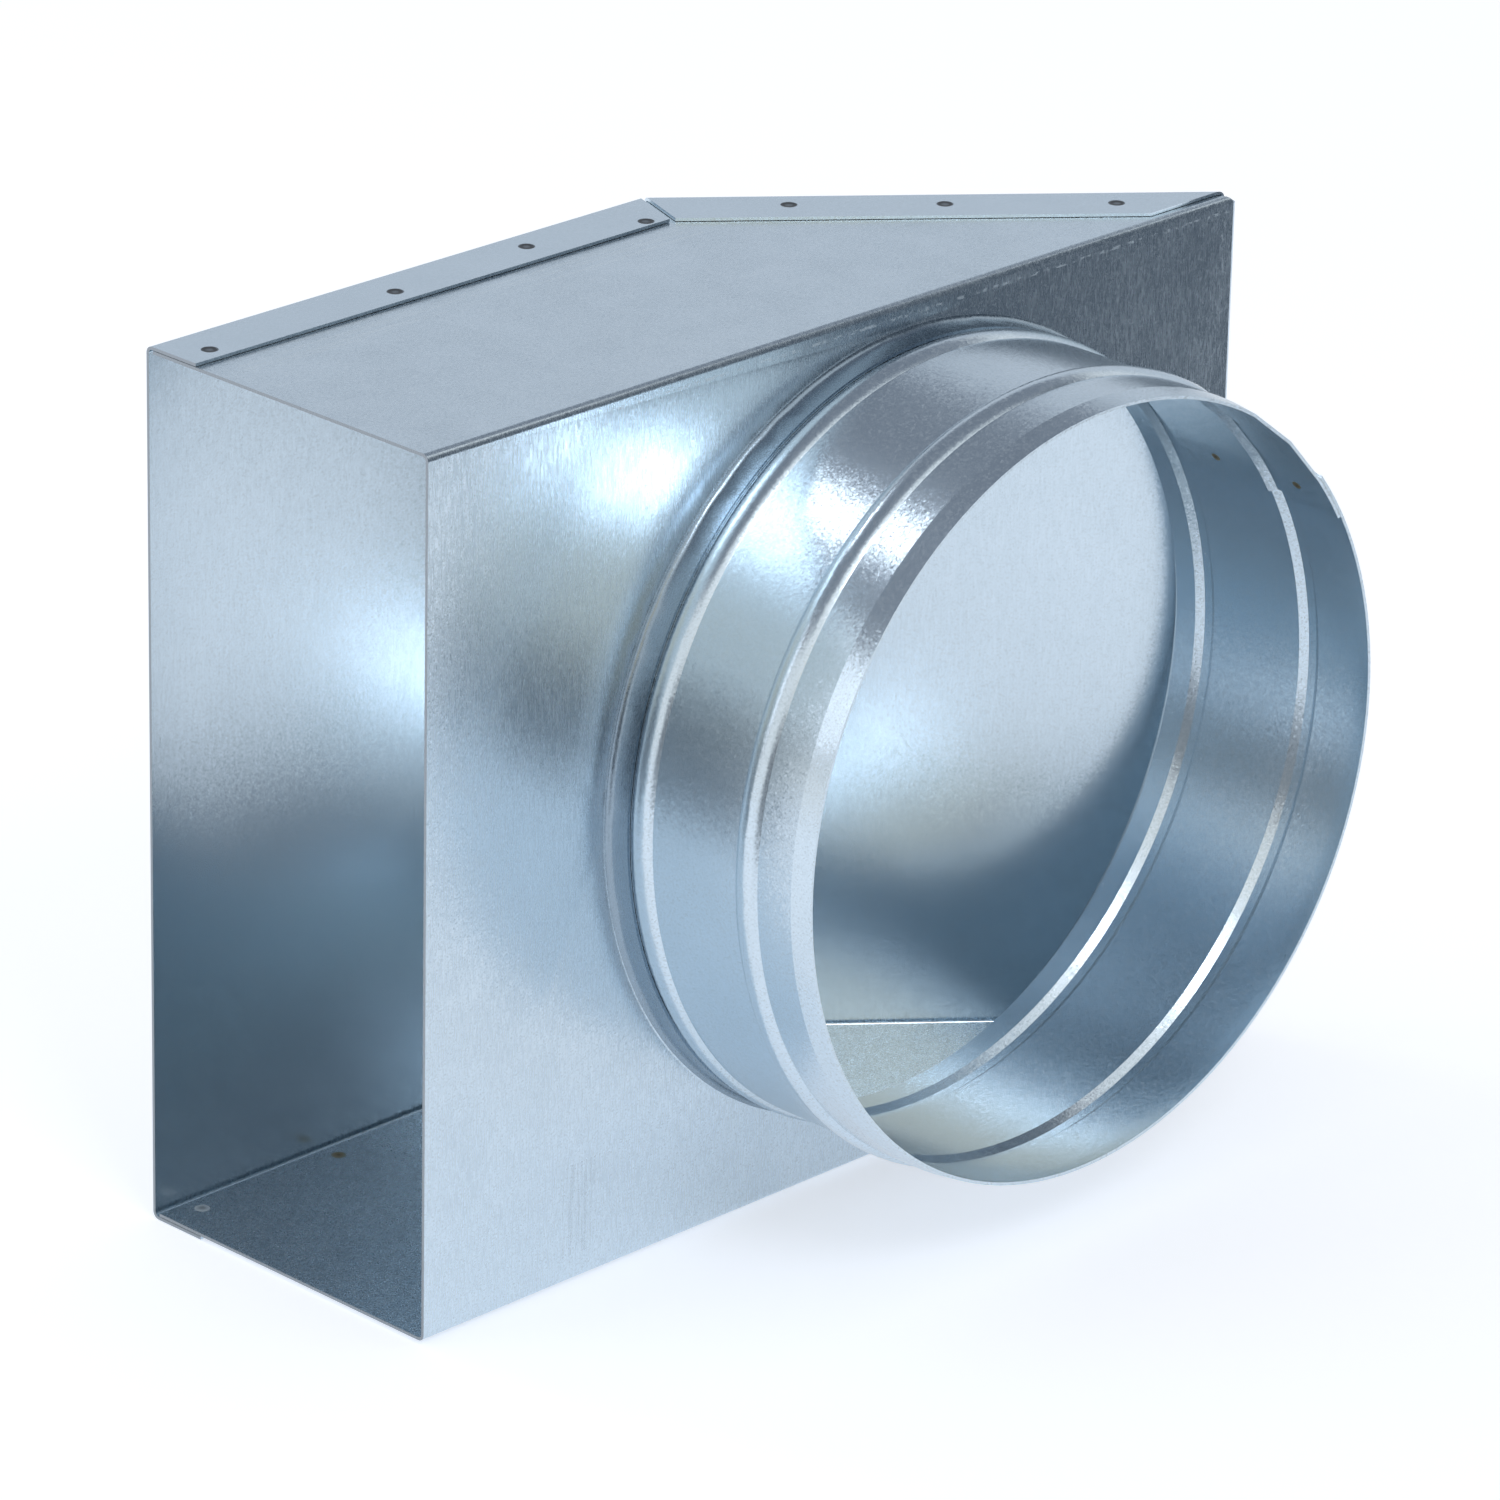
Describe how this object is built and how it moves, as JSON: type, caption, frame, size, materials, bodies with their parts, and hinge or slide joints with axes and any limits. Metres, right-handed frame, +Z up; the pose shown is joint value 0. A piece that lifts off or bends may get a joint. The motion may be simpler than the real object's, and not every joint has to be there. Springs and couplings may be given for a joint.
{
  "type": "flat-to-round duct elbow",
  "caption": "Sheet-steel duct elbow with a flat rectangular mouth, a slanted deflector wall and a beaded round spigot, for turning air from a flat duct into a round one.",
  "frame": {"origin": "centre of the part's box, on the surface that its lower flanges stand on", "axes": "+X from the flat mouth towards the sharp tip, -Y out of the round spigot, +Z up"},
  "size_m": [0.207, 0.1218, 0.17],
  "materials": {
    "galvanised_steel": "bright hot-dip zinc with a minimised spangle, lightly brushed by the rolling direction"
  },
  "bodies": {
    "root": {"front_shell": "galvanised_steel", "deflector_sheet": "galvanised_steel", "spigot_collar": "galvanised_steel"}
  },
  "joints": []
}
